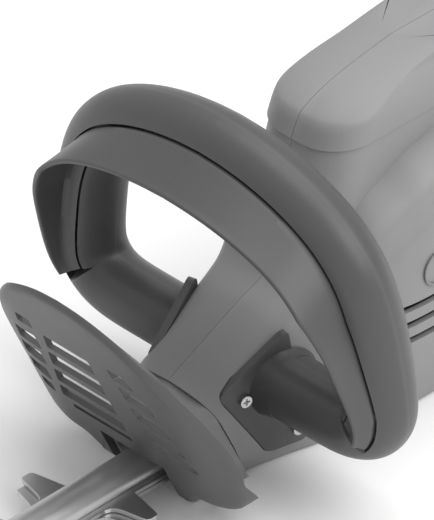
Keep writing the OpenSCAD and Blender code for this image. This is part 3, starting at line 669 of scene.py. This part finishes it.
def bail_shell(name, section, front):
    rings = bail_rings(BAIL_PATH, section)
    shell_ = outward(loft(name, rings))
    for side in (-1, 1):
        plate = extrude("flange", rounded(FLANGE, 4), side_place(side), 3.6)
        # the plates split on the same plane as the tube's halves
        x0 = SPLIT if front else -SPLIT
        reach = 90 if front else -90
        low, high = bail_x(-20), bail_x(120)
        outline = [(low + x0, -20), (high + x0, 120), (high + reach, 120), (low + reach, -20)]
        keep(plate, extrude("half", outline, lambda u, v, w: (u, w - 60, v), 120))
        foot = FLANGE_SCREWS[0 if front else 1]
        place = side_place(side, 4)
        hole = rod("hole", place(foot[0], foot[1], 0), place(foot[0], foot[1], 20), 1.9, 40)
        fillet = bail_foot(side, front)
        join(plate, fillet)
        cut(plate, hole)
        join(shell_, plate)
    return shell_


def bail_foot(side, front):
    """The flare where the tube runs into its flange."""
    rings = []
    start, end = (-90, 90) if front else (90, 270)
    for t in np.linspace(0, 1, 9):
        y = 29.2 + 6.8 * t
        r = TUBE_R + 1.5 * (1 - math.sin(t * math.pi / 2)) ** 1.4 + 0.02
        outer = arc_at(0, 0, r, start, end, 40)
        inner = arc_at(0, 0, TUBE_R - 1.0, end, start, 40)
        x0 = SPLIT if front else -SPLIT
        turn = math.tan(FLANGE_TURN) * (1 - t)
        rings.append(
            [(TUBE_X + x0 + u, side * (y + u * turn), 43.2 + w) for u, w in np.vstack([outer, inner])]
        )
    return outward(loft("flare", rings))


front_shell = bail_shell("bail_front_skin", front_section, True)
rear_shell = bail_shell("bail_rear_skin", rear_section, False)
for y, z in BAIL_JOINTS:
    cut(rear_shell, rod("screw_hole", (bail_x(z) - 20, y, z), (bail_x(z) - 12.2, y, z), 3.5, 40))
for skin, node in ((front_shell, "bail_front_shell"), (rear_shell, "bail_rear_shell")):
    smooth_shade(skin, 36)
    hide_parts(node)
    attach(skin, "frame")


def bar_section(z):
    """The bar's visor section: crease on the tube, rounded front lip, underside, then the root skin."""
    v, reach = edge_v(z), min(37, 19.5 + 0.27 * (z - 57))
    drop = 4.5 - 12.5 * float(np.clip((z - 100) / 57, 0, 1)) ** 1.5
    lip = [
        (reach, drop + 1.3), (reach + 0.9, drop + 0.95), (reach + 1.2, drop + 0.1),
        (reach + 1, drop - 0.8), (reach + 0.4, drop - 1.3),
    ]  # fmt: skip
    return np.vstack(
        [
            np.linspace((math.sqrt(17.3**2 - v * v), v), lip[0], 9),
            even(spline(lip, 4), 10)[1:],
            np.linspace(lip[-1], (17.6, min(v - 3.6, 1)), 9)[1:],
            arc_at(0, 0, 16.1, -3, -21, 4),
            arc_at(0, 0, 13.9, -19, math.degrees(math.asin(v / 13.9)) - 4, 8),
        ]
    )


inside = [i for i, p in enumerate(BAIL_PATH) if p[1] >= 52.9]
bar = outward(loft("switch_bar_skin", bail_rings(BAIL_PATH, bar_section)[inside[0] : inside[-1] + 1]))
smooth_shade(bar, 36)
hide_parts("switch_bar")
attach(bar, "switch_bar")


# ---- materials -----------------------------------------------------------------------------------


FINE_GRAIN = (1500.0, 1500.0, 1500.0)


def finish_of(name, colour, rough, metallic=0.0, grain=FINE_GRAIN, depth=0.00003, vary=0.06, wear=0.0, coat=0.0):
    """A surface with fine grain, slightly uneven colour and gloss, and optional wear on its edges."""
    mat = bpy.data.materials.new(name)
    mat.use_nodes = True
    nodes, links = mat.node_tree.nodes, mat.node_tree.links
    nodes.clear()
    out = nodes.new("ShaderNodeOutputMaterial")
    shader = nodes.new("ShaderNodeBsdfPrincipled")
    links.new(shader.outputs["BSDF"], out.inputs["Surface"])
    shader.inputs["Metallic"].default_value = metallic
    shader.inputs["Coat Weight"].default_value = coat
    shader.inputs["Coat Roughness"].default_value = 0.35
    place = nodes.new("ShaderNodeTexCoord").outputs["Object"]
    # large soft patches shift the colour and gloss a little
    patches = nodes.new("ShaderNodeTexNoise")
    patches.inputs["Scale"].default_value = 28.0
    patches.inputs["Detail"].default_value = 4.0
    links.new(place, patches.inputs["Vector"])
    # fine grain, stretched where the surface is brushed
    stretch = nodes.new("ShaderNodeMapping")
    stretch.inputs["Scale"].default_value = grain
    links.new(place, stretch.inputs["Vector"])
    fine = nodes.new("ShaderNodeTexNoise")
    fine.inputs["Scale"].default_value = 1.0
    fine.inputs["Detail"].default_value = 3.0
    links.new(stretch.outputs["Vector"], fine.inputs["Vector"])
    mixed = nodes.new("ShaderNodeMath")
    mixed.operation = "MULTIPLY_ADD"
    mixed.inputs[1].default_value = 0.45
    links.new(fine.outputs["Fac"], mixed.inputs[0])
    soft = nodes.new("ShaderNodeMath")
    soft.operation = "MULTIPLY"
    soft.inputs[1].default_value = 0.55
    links.new(patches.outputs["Fac"], soft.inputs[0])
    links.new(soft.outputs[0], mixed.inputs[2])
    ramp = nodes.new("ShaderNodeValToRGB")
    ramp.color_ramp.elements[0].position = 0.3
    ramp.color_ramp.elements[1].position = 0.7
    ramp.color_ramp.elements[0].color = [c * (1 - vary) for c in colour] + [1]
    ramp.color_ramp.elements[1].color = [min(1, c * (1 + vary)) for c in colour] + [1]
    links.new(mixed.outputs[0], ramp.inputs["Fac"])
    tint = ramp.outputs["Color"]
    if wear:
        edge = nodes.new("ShaderNodeNewGeometry").outputs["Pointiness"]
        near = nodes.new("ShaderNodeMapRange")
        near.inputs["From Min"].default_value = 0.52
        near.inputs["From Max"].default_value = 0.62
        near.inputs["To Max"].default_value = wear
        links.new(edge, near.inputs["Value"])
        blend = nodes.new("ShaderNodeMix")
        blend.data_type = "RGBA"
        links.new(near.outputs["Result"], blend.inputs["Factor"])
        links.new(tint, blend.inputs["A"])
        blend.inputs["B"].default_value = [min(1, c * 1.6 + 0.03) for c in colour] + [1]
        tint = blend.outputs["Result"]
    links.new(tint, shader.inputs["Base Color"])
    gloss = nodes.new("ShaderNodeMapRange")
    gloss.inputs["From Min"].default_value = 0.25
    gloss.inputs["From Max"].default_value = 0.75
    gloss.inputs["To Min"].default_value = rough - 0.07
    gloss.inputs["To Max"].default_value = rough + 0.07
    links.new(mixed.outputs[0], gloss.inputs["Value"])
    links.new(gloss.outputs["Result"], shader.inputs["Roughness"])
    bump = nodes.new("ShaderNodeBump")
    bump.inputs["Strength"].default_value = 0.6
    bump.inputs["Distance"].default_value = depth
    links.new(fine.outputs["Fac"], bump.inputs["Height"])
    links.new(bump.outputs["Normal"], shader.inputs["Normal"])
    return mat


def grey(value):
    return (value, value, value)


BRUSHED = (60.0, 2600.0, 2600.0)
TURNED = (1800.0, 1800.0, 400.0)
FINISHES = {
    "housing_plastic": finish_of("housing_plastic", grey(0.25), 0.5, wear=0.25, vary=0.04),
    # guard_plastic is the housing's grey darkened to about a quarter. This is painted shade standing in for the shade
    # on the forward-facing guard, and the bail and switch bar share it.
    "guard_plastic": finish_of("guard_plastic", grey(0.068), 0.42, wear=0.3, vary=0.06),
    "dark_plastic": finish_of("dark_plastic", grey(0.075), 0.48, wear=0.25),
    "badge_plastic": finish_of("badge_plastic", grey(0.2), 0.4, vary=0.08),
    "screw_steel": finish_of("screw_steel", grey(0.62), 0.28, 1.0, TURNED, 0.00001, wear=0.2),
    "blade_steel": finish_of("blade_steel", grey(0.55), 0.34, 1.0, BRUSHED, 0.00002, wear=0.5),
    "rail_aluminium": finish_of("rail_aluminium", grey(0.56), 0.42, 0.85, BRUSHED, 0.00002),
    "cast_aluminium": finish_of("cast_aluminium", (0.42, 0.42, 0.43), 0.55, 0.9, depth=0.00008, vary=0.12),
    "bearing_steel": finish_of("bearing_steel", grey(0.68), 0.16, 1.0, TURNED, 0.00001),
    "brass": finish_of("brass", (0.72, 0.52, 0.2), 0.3, 1.0, TURNED, 0.00001, 0.1),
    "copper": finish_of("copper", (0.66, 0.3, 0.14), 0.34, 1.0, (400.0, 400.0, 2400.0), 0.00006, 0.16),
    "magnet": finish_of("magnet", (0.05, 0.05, 0.055), 0.62, 0.3, depth=0.00005),
    "graphite": finish_of("graphite", grey(0.03), 0.7, 0.1, depth=0.00005),
}
SLOTS = {row["node"]: row["material_slot"] for row in frame["record"]["subparts"]}
SKINS = {
    "housing_left_skin": "housing_plastic",
    "housing_right_skin": "housing_plastic",
    "nose_collar_skin": "housing_plastic",
    # the guard, bail and switch bar take guard_plastic, whose darker grey is painted shade
    "hand_guard_skin": "guard_plastic",
    "bail_front_skin": "guard_plastic",
    "bail_rear_skin": "guard_plastic",
    "switch_bar_skin": "guard_plastic",
}


def dress(obj, slot):
    obj.data.materials.clear()
    obj.data.materials.append(FINISHES[slot])


for name, slot in SKINS.items():
    dress(bpy.data.objects[name], slot)
# bevel widths, in mm, of CAD pieces that show
BEVELS = {
    "blade_rail": 0.8, "upper_blade": 0.3, "lower_blade": 0.3, "blade_tip_guard": 0.7,
    "trigger": 1.2, "side_badges": 0.4, "inlet_socket": 0.5, "housing_screws": 0.25,
    "guard_screws": 0.25, "bail_flange_screws": 0.25, "bail_shell_screws": 0.25, "blade_screws": 0.25,
    "blade_washers": 0.2, "rail_foot_screws": 0.25, "tip_guard_screws": 0.25, "gear_case": 0.6,
    "gear_case_lid": 0.6, "inlet_pins": 0.3,
}
for name, node in frame["nodes"].items():
    dress(node, SLOTS[name])
    if name in BEVELS:
        weld = node.modifiers.new("weld", "WELD")
        weld.merge_threshold = 1e-6
        bevel = node.modifiers.new("bevel", "BEVEL")
        bevel.width = BEVELS[name] * MM
        bevel.segments = 3
        bevel.limit_method = "ANGLE"
        bevel.angle_limit = math.radians(35)
        bevel.use_clamp_overlap = True

# ---- floor, light and camera -----------------------------------------------------------------------

FLOOR_HALF, FLOOR_Z = 6000, -0.4
corners = [(x * FLOOR_HALF, y * FLOOR_HALF, FLOOR_Z) for x, y in ((-1, -1), (1, -1), (1, 1), (-1, 1))]
floor = new_object("floor", corners, [(0, 1, 2, 3)])
floor.data.materials.append(finish_of("floor", grey(0.97), 0.9, depth=0.0, vary=0.01))
floor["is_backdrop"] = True

scene = bpy.context.scene
scene.view_settings.view_transform = "Standard"
world = bpy.data.worlds.new("studio")
world.use_nodes = True
world.node_tree.nodes["Background"].inputs["Color"].default_value = (1, 1, 1, 1)
world.node_tree.nodes["Background"].inputs["Strength"].default_value = 0.72
scene.world = world


def lamp(name, place, aim, size, power):
    data = bpy.data.lights.new(name, "AREA")
    data.shape = "DISK"
    data.size = size
    data.energy = power
    obj = bpy.data.objects.new(name, data)
    obj.location = place
    obj.rotation_euler = (Vector(aim) - Vector(place)).to_track_quat("-Z", "Y").to_euler()
    scene.collection.objects.link(obj)


lamp("key", (-0.6, 1.9, 2.2), (0, 0, 0.08), 2.2, 42)
lamp("top", (-0.6, -0.3, 2.8), (0.05, 0, 0.05), 2.4, 32)

camera_data = bpy.data.cameras.new("camera")
camera_data.type = "PERSP"
camera_data.lens = 500
camera_data.sensor_width = 36
camera_data.clip_start = 0.1
camera_data.clip_end = 30
camera = bpy.data.objects.new("camera", camera_data)
aim = Vector((0.0485, 0.0, 0.0995))
camera.location = aim + Vector((1, 1, 1)).normalized() * 3.14
camera.rotation_euler = (aim - camera.location).to_track_quat("-Z", "Y").to_euler()
scene.collection.objects.link(camera)
scene.camera = camera

# ---- size and finish -------------------------------------------------------------------------------


def plain(bounds):
    return [[float(v) for v in corner] for corner in bounds]


{"cad": plain(cad_box), "visual": plain(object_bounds())}
